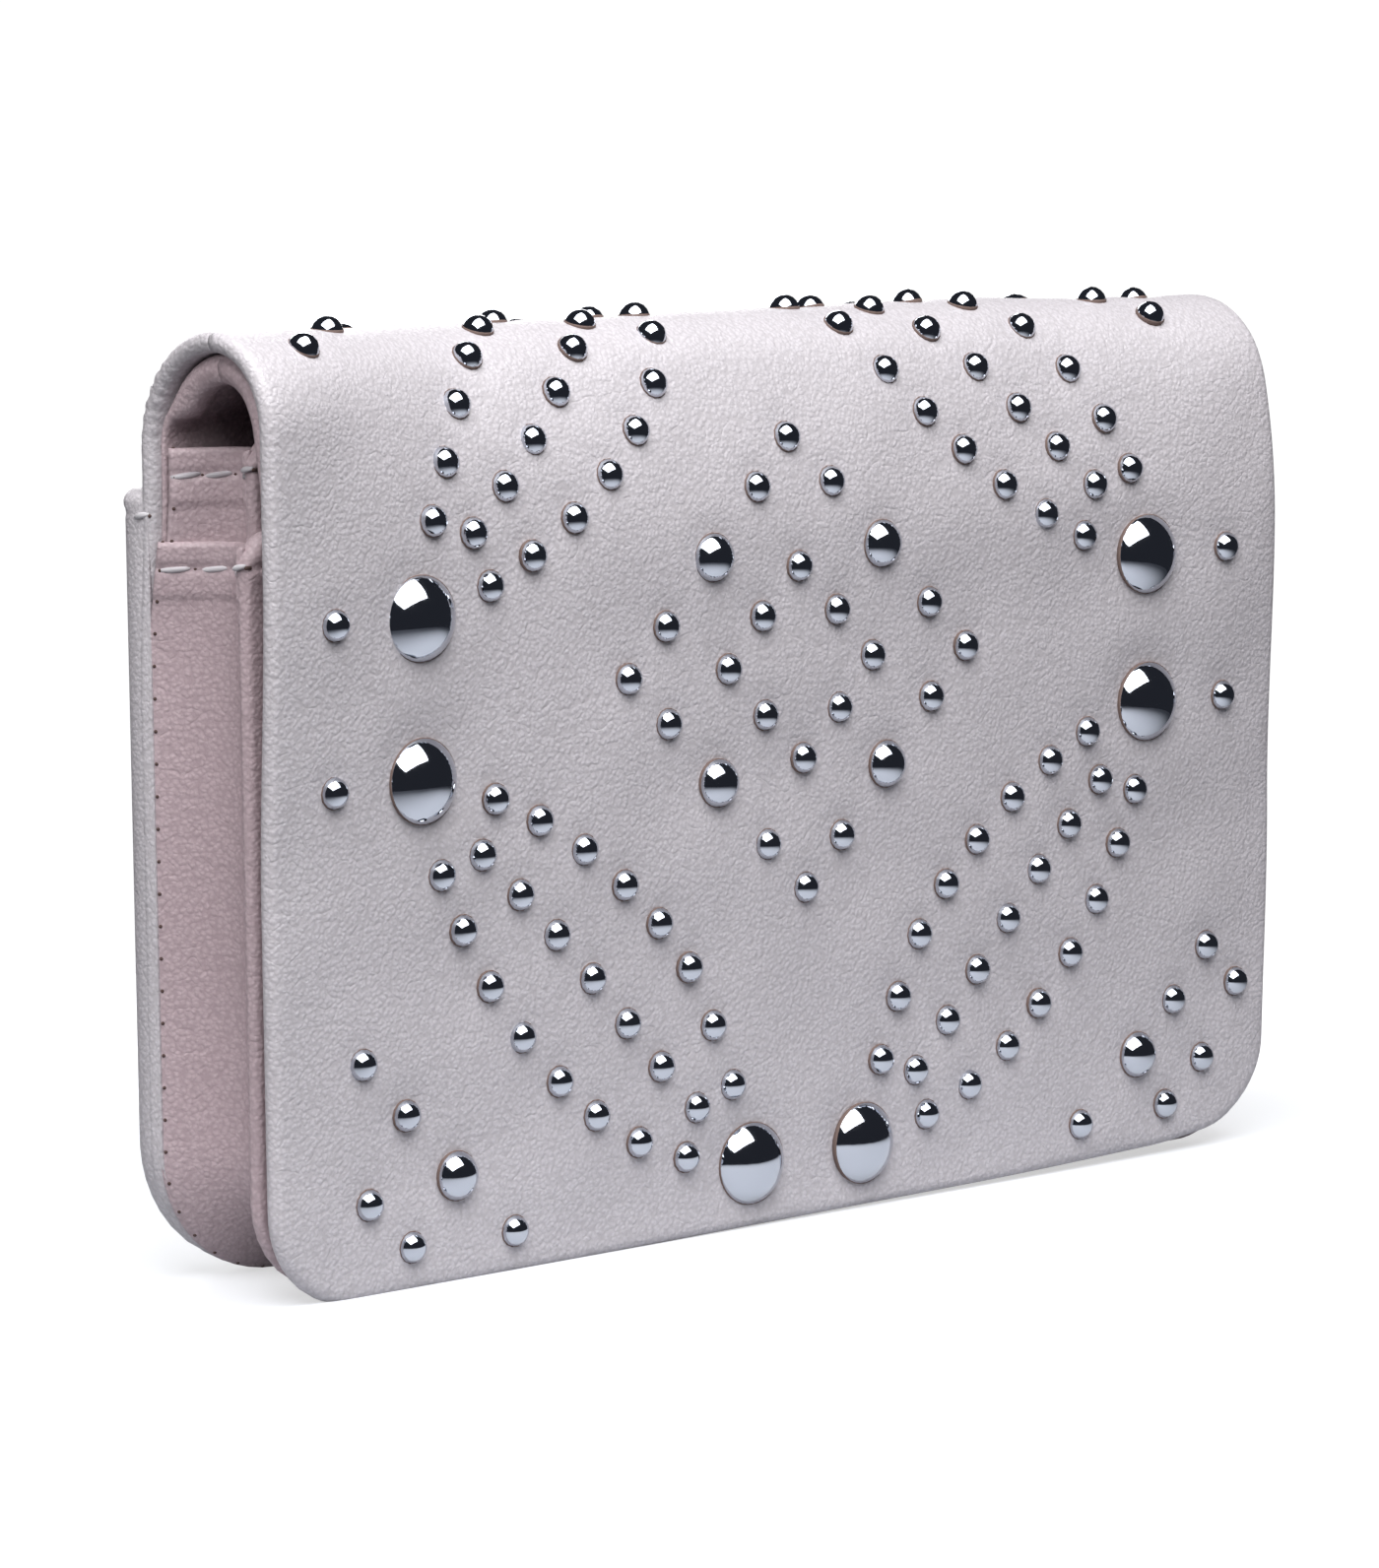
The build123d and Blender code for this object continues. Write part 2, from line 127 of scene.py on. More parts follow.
# %% [markdown]
# ## Small helpers for materials
# Colours are written as hex values, as a paint chart gives them, and one function turns them to the linear
# values that light adds up in. One more function adds a node and sets and links it.

# %% Colour and node helpers
def linear(code):
    """'#rrggbb' to linear RGBA. Below 0.04045 a channel is divided by 12.92, above it it is
    ((c + 0.055) / 1.055) to the power 2.4."""
    c = np.array([int(code[i:i + 2], 16) for i in (1, 3, 5)]) / 255
    c = np.where(c <= 0.04045, c / 12.92, ((c + 0.055) / 1.055) ** 2.4)
    return (*c.tolist(), 1.0)


def add(tree, kind, inputs=(), **settings):
    """Adds a node, sets its properties, and sets or links each of its inputs."""
    made = tree.nodes.new("ShaderNode" + kind)
    for name, value in settings.items():
        setattr(made, name, value)
    for name, value in dict(inputs).items():
        if isinstance(value, bpy.types.NodeSocket):
            tree.links.new(value, made.inputs[name])
        else:
            made.inputs[name].default_value = value
    return made


def start(name, colour, roughness, metallic=0.0):
    """A new material with the shader's own sockets set."""
    material = bpy.data.materials.new(name)
    material.use_nodes = True
    shader = material.node_tree.nodes["Principled BSDF"]
    shader.inputs["Base Color"].default_value = linear(colour)
    shader.inputs["Roughness"].default_value = roughness
    shader.inputs["Metallic"].default_value = metallic
    return material, material.node_tree, shader


print("pale grey in linear light:", [round(v, 3) for v in linear("#ccc7cc")])

# %% [markdown]
# ## Leather
# The leather is split leather with a thin coloured coating, embossed with a fine pebble grain. The coating
# gives it a soft, satin gloss; the embossing gives small rounded cells about 0.6 mm across with shallow
# creases between them, and handling adds longer, fainter creases. A tiled scan would repeat and show its
# seams; nodes don't. A cell pattern whose lookup wanders a little gives the cells, and a noise where it crosses
# its middle value gives the creases. Between the cells the colour is painted darker: painted shade in the
# grain's creases. The grain has to stay on the leather when the flap moves, so it is drawn in each point's
# place at rest, which every soft piece keeps as an attribute.

# %% Embossed leather
def leather(name, colour, deep, cell=0.62, relief=0.08, roughness=0.45):
    """Satin coated leather: rounded cells of that size in mm, relief in mm; the creases between the cells are painted
    in the deep colour as painted shade.
    """
    material, tree, shader = start(name, colour, roughness)
    rest = add(tree, "Attribute", attribute_name="rest").outputs["Vector"]
    in_mm = add(tree, "VectorMath", {0: rest, "Scale": 1000.0}, operation="SCALE").outputs[0]
    wander = add(tree, "TexNoise", {"Vector": in_mm, "Scale": 0.9 / cell, "Detail": 3.0})
    shifted = add(tree, "VectorMath", {0: wander.outputs["Color"], 1: (cell * 0.7,) * 3, 2: in_mm},
                  operation="MULTIPLY_ADD")
    cells = add(tree, "TexVoronoi", {"Vector": shifted.outputs[0], "Scale": 1 / cell}, feature="F1")
    crease = add(tree, "MapRange", {"Value": cells.outputs["Distance"], "From Min": 0.15, "From Max": 0.75,
                                    "To Min": 1.0, "To Max": 0.0})
    pores = add(tree, "TexNoise", {"Vector": in_mm, "Scale": 1.9 / cell, "Detail": 4.0, "Roughness": 0.62})
    folds = add(tree, "TexNoise", {"Vector": in_mm, "Scale": 0.30, "Detail": 1.5, "Distortion": 0.2})
    ridge = add(tree, "Math", {0: folds.outputs["Fac"], 1: 0.5}, operation="SUBTRACT")
    ridge = add(tree, "Math", {0: ridge.outputs[0]}, operation="ABSOLUTE")
    ridge = add(tree, "MapRange", {"Value": ridge.outputs[0], "From Max": 0.05}, interpolation_type="SMOOTHSTEP")
    height = add(tree, "Math", {0: pores.outputs["Fac"], 1: 0.8, 2: crease.outputs["Result"]},
                 operation="MULTIPLY_ADD")
    height = add(tree, "Math", {0: ridge.outputs["Result"], 1: 0.45, 2: height.outputs[0]},
                 operation="MULTIPLY_ADD")
    bump = add(tree, "Bump", {"Height": height.outputs[0], "Strength": 0.8, "Distance": relief * MM})
    # painted shade: towards each cell's edge the colour goes over to the deep one
    tone = add(tree, "Mix", {0: crease.outputs["Result"], 6: linear(deep), 7: linear(colour)}, data_type="RGBA")
    cloud = add(tree, "TexNoise", {"Vector": in_mm, "Scale": 0.04, "Detail": 3.0})
    shade = add(tree, "MapRange", {"Value": cloud.outputs["Fac"], "From Min": 0.3, "From Max": 0.7,
                                   "To Min": 0.97, "To Max": 1.025})
    tint = add(tree, "VectorMath", {0: tone.outputs[2], "Scale": shade.outputs["Result"]}, operation="SCALE")
    gloss = add(tree, "MapRange", {"Value": crease.outputs["Result"], "To Min": roughness + 0.12,
                                   "To Max": roughness - 0.03})
    tree.links.new(tint.outputs[0], shader.inputs["Base Color"])
    tree.links.new(gloss.outputs["Result"], shader.inputs["Roughness"])
    tree.links.new(bump.outputs["Normal"], shader.inputs["Normal"])
    shader.inputs["IOR"].default_value = 1.5
    shader.inputs["Coat Weight"].default_value = 0.10
    shader.inputs["Coat Roughness"].default_value = 0.32
    print("leather", name, "cells", cell, "mm, relief", relief, "mm")
    return material


# the second colour of each is the painted shade in the grain's creases
outer_leather = leather("satin_leather_pale_grey", "#ccc7cc", "#bcb7bb")
lining_leather = leather("satin_leather_dusty_pink", "#c2afb4", "#b09da2", roughness=0.47)

# %% [markdown]
# ## Metal and thread
# The studs are stamped from steel and nickel plated to a mirror, so nearly all one sees in them is the room:
# roughness is close to nothing and a faint ripple stands for the stamping. Snap and zip are cast or stamped,
# tumbled and plated, a little less bright. The thread is bonded polyester: two plies, a soft shine.

# %% Plated metal, thread, tape and needle holes
def plated(name, colour, roughness, ripple):
    """A plated metal with a faint ripple of that depth in mm, 2 mm from crest to crest."""
    material, tree, shader = start(name, colour, roughness, metallic=1.0)
    where = add(tree, "TexCoord").outputs["Object"]
    waves = add(tree, "TexNoise", {"Vector": where, "Scale": 500.0, "Detail": 1.0})
    smudge = add(tree, "TexNoise", {"Vector": where, "Scale": 1200.0, "Detail": 3.0})
    worn = add(tree, "MapRange", {"Value": smudge.outputs["Fac"], "From Min": 0.35, "From Max": 0.75,
                                  "To Min": roughness, "To Max": roughness * 1.8})
    bump = add(tree, "Bump", {"Height": waves.outputs["Fac"], "Strength": 0.3, "Distance": ripple * MM})
    tree.links.new(worn.outputs["Result"], shader.inputs["Roughness"])
    tree.links.new(bump.outputs["Normal"], shader.inputs["Normal"])
    return material


mirror_nickel = plated("mirror_plated_nickel", "#c3c7d0", 0.05, 0.04)
satin_nickel = plated("satin_plated_nickel", "#c9c9cc", 0.16, 0.03)
cast_zip_metal = plated("tumbled_zip_nickel", "#c4c2c0", 0.22, 0.05)
WAVE_REPEAT = 628.0        # at scale 1 the wave texture repeats after this many mm along each axis


def banded(name, colour, dark, band, relief, roughness):
    """Thread or woven tape: tone and height rise and fall through the rest place, every band mm along each axis."""
    material, tree, shader = start(name, colour, roughness)
    rest = add(tree, "Attribute", attribute_name="rest").outputs["Vector"]
    bands = add(tree, "TexWave", {"Vector": rest, "Scale": WAVE_REPEAT / band, "Distortion": 1.5, "Detail": 1.0},
                bands_direction="DIAGONAL")
    tone = add(tree, "Mix", {0: bands.outputs["Fac"], 6: linear(dark), 7: linear(colour)}, data_type="RGBA")
    bump = add(tree, "Bump", {"Height": bands.outputs["Fac"], "Strength": 0.6, "Distance": relief * MM})
    tree.links.new(tone.outputs[2], shader.inputs["Base Color"])
    tree.links.new(bump.outputs["Normal"], shader.inputs["Normal"])
    shader.inputs["Sheen Weight"].default_value = 0.15
    return material


thread = banded("bonded_polyester_thread", "#d9d6da", "#a8a3a8", 7.0, 0.08, 0.55)
woven_tape = banded("woven_polyester_tape", "#b9a3a4", "#8f7879", 10.0, 0.06, 0.8)
needle_hole = start("shadow_in_a_needle_hole", "#54433f", 0.9)[0]
# a dark brown for the painted shadow round the base of each stud
painted_stud_shadow = start("painted_shadow_round_stud_base", "#6f5d57", 0.85)[0]
print("materials:", len(bpy.data.materials))

# %% [markdown]
# ## A surface from two grids
# Every soft piece here has an outer and an inner face over the same grid. A Solidify modifier could make the
# second face, but can't make an edge round or a seam thin. This helper joins two grids along their border into
# one closed skin, turns its faces outwards, and keeps each point's place at rest for the grain. Where a piece
# is cut in two, the normals along the cut are given, so that the light runs on.

# %% From grids to a mesh
def finish_mesh(name, points, faces, material, normals=None):
    """points in mm to a smooth mesh object in metres, with its rest places as an attribute."""
    mesh = bpy.data.meshes.new(name)
    mesh.from_pydata(points * MM, [], faces)
    mesh.polygons.foreach_set("use_smooth", np.ones(len(mesh.polygons), bool))
    mesh.attributes.new("rest", "FLOAT_VECTOR", "POINT").data.foreach_set("vector", (points * MM).ravel())
    mesh.materials.append(material)
    mesh.update()
    if normals is not None:
        mesh.normals_split_custom_set_from_vertices(normals)
    made = bpy.data.objects.new(name, mesh)
    bpy.context.scene.collection.objects.link(made)
    return made


def grid_normals(face, way):
    """Unit normals of a grid: its two slopes crossed, on the side that way points to."""
    n = unit(np.cross(np.gradient(face, axis=0), np.gradient(face, axis=1)))
    return n * np.sign((n * way).sum())


def skin(name, outer, inner, material, cut=False):
    """A closed skin between two grids of (rows, columns, 3) points. With cut, the last row lies beyond the piece
    and only gives the normals along its cut."""
    given = [grid_normals(outer, outer - inner)[-2], grid_normals(inner, inner - outer)[-2]]
    if cut:
        outer, inner = outer[:-1], inner[:-1]
    rows, columns = outer.shape[:2]
    k = np.arange(rows * columns).reshape(rows, columns)
    top = np.stack([k[:-1, :-1], k[1:, :-1], k[1:, 1:], k[:-1, 1:]], axis=-1).reshape(-1, 4)
    low = top[:, ::-1] + rows * columns
    ring = np.concatenate([k[0, :-1], k[:-1, -1], k[-1, :0:-1], k[:0:-1, 0]])
    after = np.roll(ring, -1)
    wall = np.stack([ring, after, after + rows * columns, ring + rows * columns], axis=-1)
    faces = np.concatenate([top, low, wall])
    down, across = outer[1:, :-1] - outer[:-1, :-1], outer[:-1, 1:] - outer[:-1, :-1]
    if (np.cross(down, across) * (outer - inner)[:-1, :-1]).sum() < 0:
        faces = faces[:, ::-1]
    normals = None
    if cut:
        normals = np.zeros((2, rows, columns, 3))
        normals[0, -1, 3:-3], normals[1, -1, 3:-3] = given[0][3:-3], given[1][3:-3]
        normals = normals.reshape(-1, 3)
    made = finish_mesh(name, np.concatenate([outer.reshape(-1, 3), inner.reshape(-1, 3)]), faces, material, normals)
    print(name, len(faces), "faces")
    return made


# %% [markdown]
# ## Paths, edges and spacing
# The leather follows a path of straight runs and arcs. `trace` walks along such a path. A turned and padded
# edge is round, so its thickness follows a quarter circle over the last bit before the outline; the grid's
# lines crowd together there and are wider apart on the flat.

# %% Walking along runs and arcs
def trace(s, runs, place, heading):
    """Places and headings at lengths s along runs of (length, turn). A straight run adds length times its
    direction; an arc of radius R = length / turn adds R (sin b - sin a) and R (cos a - cos b) as it turns from
    a to b."""
    s = np.asarray(s, float)
    u, v, h, begin = np.full_like(s, place[0]), np.full_like(s, place[1]), np.full_like(s, heading), 0.0
    for length, turn in runs:
        t = np.clip(s - begin, 0, length)
        if begin == 0:
            t = np.minimum(s, length)
        if turn == 0:
            u, v = u + t * np.cos(heading), v + t * np.sin(heading)
        else:
            radius = length / turn
            u = u + radius * (np.sin(heading + t / radius) - np.sin(heading))
            v = v + radius * (np.cos(heading) - np.cos(heading + t / radius))
            h = h + t / radius
        begin, heading = begin + length, heading + turn
    return u, v, h


def spaced(length, roll, step, both=True):
    """Places from 0 to length that crowd into a rolled edge of radius roll: roll (1 - cos a), then even steps."""
    edge = roll * (1 - np.cos(np.linspace(0, np.pi / 2, 5)))
    end = length - roll if both else length
    middle = np.linspace(roll, end, max(3, int((end - roll) / step)))[1:]
    return np.concatenate([edge, middle, length - edge[-2::-1]]) if both else np.concatenate([edge, middle])


def rolled(e, thick):
    """Share of the half thickness at distance e from the outline: a quarter circle over the first half thickness."""
    return np.sqrt(np.clip(1 - (1 - np.clip(2 * e / thick, 0, 1)) ** 2, 0.0009, 1))


def inside(x, up_from, half, radius):
    """How far a point is inside an outline with two corners of that radius, on the side that up_from is measured
    from: in a corner the radius less the distance from its centre, elsewhere the distance to the nearest edge."""
    over_x, over_s = np.abs(x) - (half - radius), radius - up_from
    return radius - np.where((over_x > 0) & (over_s > 0), np.hypot(over_x, over_s), np.maximum(over_x, over_s))


def half_at(up_from, half, radius):
    """Half the width of that outline at a height: half - R + sqrt(R^2 - (R - height)^2)."""
    return half - radius + np.sqrt(radius ** 2 - (radius - np.clip(up_from, 0, radius)) ** 2)


def smooth(t):
    """0 below 0, 1 above 1, and 3 t^2 - 2 t^3 between."""
    t = np.clip(t, 0, 1)
    return t * t * (3 - 2 * t)


print("a rolled edge 2 mm thick, at 0, 0.5 and 1 mm:", rolled(np.array([0, 0.5, 1.0]), 2.0).round(2))

# %% [markdown]
# ## The shell's path
# Seen from its end, the shell goes up the flap, leans back over a long gentle arc, turns over the crown in two
# tighter arcs and comes down the back. Its two ends are free, and there the leather relaxes to a plain round
# arch. A deform modifier could bend a flat strip so, but a formula keeps every length and every hole in place.

# %% The path and how its ends relax
LEAN, LEAN_TURN, CROWN_FRONT = 55.0, np.radians(26), 12.2
CROWN_BACK = BACK - FRONT - LEAN * (1 - np.cos(LEAN_TURN)) - CROWN_FRONT * np.cos(LEAN_TURN)
LEAN_FROM = TOP - CROWN_FRONT * (1 - np.sin(LEAN_TURN)) - LEAN * np.sin(LEAN_TURN)
RUNS = [(LEAN_FROM, 0), (LEAN * LEAN_TURN, -LEAN_TURN), (CROWN_FRONT * (np.pi / 2 - LEAN_TURN), LEAN_TURN - np.pi / 2),
        (CROWN_BACK * np.pi / 2, -np.pi / 2), (TOP - CROWN_BACK, 0)]
END_TOP, END_FRONT, END_BACK = TOP + 0.9, 11.8, 14.8       # the round arch at the ends: its top and two radii
END_RUNS = [(END_TOP - END_FRONT, 0), (END_FRONT * np.pi / 2, -np.pi / 2), (END_BACK * np.pi / 2, -np.pi / 2),
            (END_TOP - END_BACK, 0)]
END_LONGER, END_FORWARD = 3.0, 2.1                         # its extra length, and how far forward it stands
CROWN_AT = sum(length for length, _ in RUNS[:3])     # length from the flap's bottom to the top of the crown
SHELL_LENGTH = sum(length for length, _ in RUNS)
print("crown at", round(CROWN_AT, 1), "of", round(SHELL_LENGTH, 1), "mm")


def on_shell(x, s, depth):
    """Points at x, at length s along the outer leather, and that deep below its face: the middle's path, mixed
    with the ends' round arch by a smooth share that grows towards the ends and the top. The right end relaxes
    half as much. The flap's bottom edge was cut a touch askew."""
    y, z, h = trace(s, RUNS, (FRONT, 0.0), np.pi / 2)
    y, z = y + depth * np.sin(h), z - depth * np.cos(h)
    y_end, z_end, h = trace(s + END_LONGER * smooth((s - CROWN_AT - 2) / 46), END_RUNS, (FRONT, 0.0), np.pi / 2)
    y_end, z_end = y_end + depth * np.sin(h), z_end - depth * np.cos(h)
    behind = smooth((s - CROWN_AT + 6) / 12)
    high = (1 - behind) * smooth((z - 48) / 40) + behind * smooth((z - 72) / 26)
    end = high * smooth((np.abs(x) - 48) / 40)
    round_end = end * np.where(x < 0, 1.0, 0.5)
    y = y + 0.5 * high * (1 - behind) - END_FORWARD * end + round_end * (y_end - y)
    z = z + round_end * (z_end - z)
    askew = 0.9 * x / HALF * (1 - smooth((s - 2) / 60))
    long_flap = 0.8 * (1 - smooth((s - 2) / 40)) * smooth((90 - x) / 60)
    low_end = 1.5 * smooth((x - 40) / 45) * smooth((z - 90) / 25)
    cut_corner = 1.2 * smooth((x - 64) / 20) * (1 - smooth((s - 2) / 16))
    z = z + askew - long_flap - low_end + cut_corner
    x = x - 1.5 * smooth((x - 62) / 25) * (1 - smooth((s - 2) / 45))
    return np.stack([x, y, z], axis=-1)


# %% [markdown]
# ## Where the studs are
# The pattern is the same in all four quarters: three bowed rows of small studs fan out to each corner, a
# diamond sits in the middle, and larger domes mark its points. So only one quarter is written down, each
# place as (distance from the middle, distance up the leather), and it is mirrored both ways.

# %% The stud pattern
PATTERN_AT = 72.2        # middle of the pattern, along the leather from the bottom
SMALL = [(51.8, 13.2), (44.7, 16.5), (37.5, 20.8), (30.9, 25.9), (25.2, 31.3), (20.2, 37.4), (16.3, 45.1),
         (13.1, 52.9), (54.1, 19.9), (48.1, 25.4), (42.3, 31.0), (36.5, 37.0), (30.8, 43.2), (25.2, 49.2),
         (19.3, 55.0), (60.7, 21.8), (57.4, 28.9), (53.2, 36.2), (48.2, 42.9), (42.2, 49.0), (36.2, 53.9),
         (29.1, 58.1), (21.2, 61.0),
         (73.6, 43.3), (66.9, 50.1), (73.0, 60.0), (66.4, 66.0), (49.9, 66.3), (77.5, 10.2),
         (6.5, 23.0), (23.0, 6.2), (6.5, 6.35), (0, 29.2), (0, 12.4), (29.5, 0), (12.6, 0)]
MEDIUM = [(14.7, 14.4), (59.0, 58.3)]
LARGE = [(63.3, 10.0), (9.9, 63.3)]
SIZES = {"small": (SMALL, 2.0, 2.0), "medium": (MEDIUM, 3.1, 2.6), "large": (LARGE, 5.3, 3.2)}
ODD_ONE = (81.0, 21.5)    # one small stud near the right edge has no mirror image


def mirrored(places):
    """Every place in all four quarters, once each, as (x, length along the leather)."""
    quarter = np.array(places, float)
    four = np.concatenate([quarter * sign for sign in ([1, 1], [-1, 1], [1, -1], [-1, -1])])
    return np.unique(np.round(four + 0.0, 3), axis=0) + [0, PATTERN_AT]


MOVED = [((-70.3, 120.0), (-3.0, 0.5)), ((73.6, 117.0), (-1.7, 0.3)), ((73.0, 134.0), (3.4, -7.0)),
         ((70.2, 25.5), (1.2, -1.6)), ((73.0, 12.2), (1.1, -0.7)), ((59.0, 13.9), (2.0, -0.1))]
REACH = 5.0              # studs this near to a moved place move with it


def set_by_hand(at):
    """The rows near the ends of the crown sit up to 1.8 mm further up the leather, and a few studs were riveted
    a little off their places: each moves by the amount written beside it."""
    more = 1.8 * np.clip((np.abs(at[:, 0]) - 55) / 15, 0, 1) * np.clip((at[:, 1] - 100) / 12, 0, 1)
    at = at + np.stack([0 * more, more], axis=-1)
    for place, by in MOVED:
        at = at + (np.hypot(*(at - place).T) < REACH)[:, None] * np.array(by)
    return at


STUDS = {size: set_by_hand(mirrored(places)) for size, (places, _, _) in SIZES.items()}
STUDS["small"] = np.append(STUDS["small"], [ODD_ONE], axis=0)
print({size: len(at) for size, at in STUDS.items()}, "studs")

# %% [markdown]
# ## The outer leather
# The leather is glued over a thin foam and turned round its edge, so it is a little soft: its edge is round,
# it dips where each stud pulls it in, and it is never quite flat. Cloth simulation could give such shapes, but
# this leather is stiff and glued down, so its folds and dips sit where the maker put them. Each of the two
# pieces is a grid over the flat cut, and each point's place is a formula of its distance across and along.
# The strip is cut at the top of the crown, into two pieces.

# %% Soft relief of the padded face
def relief(x, s):
    """How far the face stands out, in mm: nine slow waves from hand gluing, each 0.05 sin(2 pi distance / length),
    less a dip round each stud, (0.16 + 0.04 radius) exp(-(away / reach)^2)."""
    r = np.random.default_rng(7)
    out = np.zeros_like(x)
    for _ in range(9):
        long, way, phase = r.uniform(17, 46), r.uniform(0, np.pi), r.uniform(0, 2 * np.pi)
        out += 0.05 * np.sin(2 * np.pi * (x * np.cos(way) + s * np.sin(way)) / long + phase)
    for size, (_, radius, _) in SIZES.items():
        for place in STUDS[size]:
            away = np.maximum(np.hypot(x - place[0], s - place[1]) - radius, 0)
            out -= (0.16 + 0.04 * radius) * np.exp(-(away / (0.9 + 0.3 * radius)) ** 2)
    return out


def wrinkles(x, s):
    """Small folds where the turned edge is squeezed round the back of the crown: 0.26 sin(2 pi s / 1.9), which
    fades as exp(-(distance / 2.2)^2) from the edge and as exp(-(distance / 5.5)^2) along it."""
    near = np.exp(-((HALF - np.abs(x)) / 2.2) ** 2) * np.exp(-((s - CROWN_AT - 15) / 5.5) ** 2)
    return 0.26 * near * np.sin(2 * np.pi * s / 1.9 + 0.6 * np.sin(s * 1.9))


def half_strip(rows, columns, half, radius, s_from, s_to):
    """The flat grid of one half of the strip: x, s, and the distance from the outline. One row beyond the cut
    gives the normals there."""
    rows = np.append(rows, 2 * rows[-1] - rows[-2])
    down, across = np.meshgrid(rows, columns / half - 1, indexing="ij")
    x = across * half_at(down, half, radius)
    return x, s_from + down * (1 if s_to > s_from else -1), inside(x, down, half, radius)


def shell_piece(name, s_from, s_to, round_corner, fine):
    """The padded strip between two lengths: each face lies half the thickness, times the rolled share, to its
    side of the middle. Its cut edge is at the crown, and its other end has round corners. The last bit of that
    many mm has closer rows, for the wrinkles."""
    columns = spaced(2 * HALF, SHELL / 2, 1.35)
    rows = spaced(abs(s_to - s_from) - fine, SHELL / 2, 1.35, both=False)
    rows = np.append(rows, np.linspace(rows[-1], abs(s_to - s_from), 1 + int(fine / 0.4))[1:])
    x, s, e = half_strip(rows, columns, HALF, round_corner, s_from, s_to)
    part = rolled(e, SHELL)
    face = relief(x, s) * smooth(e / 3) + wrinkles(x, s)
    outer = on_shell(x, s, SHELL / 2 * (1 - part) - face * part)
    inner = on_shell(x, s, SHELL / 2 * (1 + part) - 0.5 * face * (1 - smooth(e / 4)))
    return skin(name, outer, inner, outer_leather, cut=True)


flap_shell = shell_piece("outer_leather_front", FLAP_BOTTOM, CROWN_AT, CORNER, 0)
back_shell = shell_piece("outer_leather_back", SHELL_LENGTH, CROWN_AT, BACK_CORNER, 26)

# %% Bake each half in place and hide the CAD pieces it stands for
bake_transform(flap_shell)
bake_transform(back_shell)
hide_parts("flap_leather", "flap_foam", "crown_foam")
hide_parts("back_leather", "back_board", "crown_leather")

# %% [markdown]
# ## The pink lining
# The lining is a thinner leather in dusty pink, glued inside. Over the crown its edge is turned over a cord
# of foam, so at each end of the arch it shows as a second, soft rim inside the outer one. It gets thin where
# it lies against the back and the flap. It is made like the outer strip, from the same path, so the two can't
# cross.

# %% The lining in two halves
def lining_piece(name, s_from, s_to, round_corner):
    """Like the outer strip, between depth SHELL and SHELL + t: t is 0.8 mm on the flat, up to 3.2 mm more in the
    rim over the crown, and less under the snap, where the leather is pressed thin."""
    half, radius = HALF - 1.5, round_corner - 1.5
    columns, rows = spaced(2 * half, 1.2, 1.9), spaced(abs(s_to - s_from), 1.2, 1.9, both=False)
    x, s, e = half_strip(rows, columns, half, radius, s_from, s_to)
    crown = smooth((s - 92) / 20) * smooth((143.5 - s) / 5)
    flap = smooth((100 - s) / 10)
    thick = LINING + crown * (1.3 + 1.9 * (1 - smooth((e - 2.6) / 2.4))) + 0.5 * flap * np.exp(-(e / 4) ** 2)
    snap = smooth((8.9 - np.hypot(x, s - corner("snap_stud", 0, 2) - 7.8)) / 1.2) * (s < 60)
    thick = thick - 0.72 * snap
    part = rolled(e, thick)
    pull = 0.12 * crown * np.sin(x / 9 + np.sin(s / 5)) * smooth(e / 6)
    outer = on_shell(x, s, SHELL + thick / 2 * (1 - part) + 0.02)
    inner = on_shell(x, s, SHELL + thick / 2 * (1 + part) + pull)
    return skin(name, outer, inner, lining_leather, cut=True)


front_lining = lining_piece("lining_front", FLAP_BOTTOM + 1.5, CROWN_AT, CORNER)
back_lining = lining_piece("lining_back", SHELL_LENGTH - 1.5, CROWN_AT, BACK_CORNER)
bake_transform(front_lining)
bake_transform(back_lining)
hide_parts("flap_lining")
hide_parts("back_lining", "crown_lining")
print("lining from", round(SHELL, 1), "mm below the outer face")

# %% [markdown]
# ## Domed studs
# Each stud is stamped from a disc: a short straight rim and a dome above it. The small ones are almost half a
# ball, the large ones flatter. A Spin would make one; here its rings are one array, so that all copies go into
# one mesh, each tilted slightly from being pressed in by hand. A slightly wider dark brown disc under each
# shows as a thin dark rim round its base: painted shadow where the stud meets the leather.

# %% Domes from a profile turned round its axis
def closed(rings, low_tip, high_tip):
    """Points and faces of a solid: rings of (count, around, 3) points joined by quads, and a fan of triangles
    from a tip over each end."""
    count, around = rings.shape[:2]
    points = np.concatenate([rings.reshape(-1, 3), [low_tip, high_tip]])
    k = np.arange(count * around).reshape(count, around)
    nxt = np.roll(k, -1, axis=1)
    sides = np.stack([k[:-1], nxt[:-1], nxt[1:], k[1:]], axis=-1).reshape(-1, 4)
    caps = [np.stack([nxt[0], k[0], np.full(around, len(points) - 2)], axis=-1),
            np.stack([k[-1], nxt[-1], np.full(around, len(points) - 1)], axis=-1)]
    return points, sides, np.concatenate(caps)


def dome(radius, height, around, rings):
    """Points and faces of one stud: a rim up to 0.4 mm, then an arc of the ball with radius (r^2 + h^2) / 2h,
    where h is the height above the rim. Each ring is the circle (r cos t, r sin t) at its height."""
    rise = height - 0.4
    ball = (radius ** 2 + rise ** 2) / (2 * rise)
    low = np.arcsin((ball - rise) / ball)
    angle = np.linspace(low, np.pi / 2, rings + 1)[:-1]
    r = np.concatenate([[radius * 0.985, radius * 1.01], ball * np.cos(angle)])
    h = np.concatenate([[-0.5, 0.22], height - ball + ball * np.sin(angle)])
    turn = np.linspace(0, 2 * np.pi, around, endpoint=False)
    profile = np.stack([r[:, None] * np.cos(turn), r[:, None] * np.sin(turn), h[:, None] + 0 * turn], axis=-1)
    return closed(profile, [0, 0, -0.5], [0, 0, height])


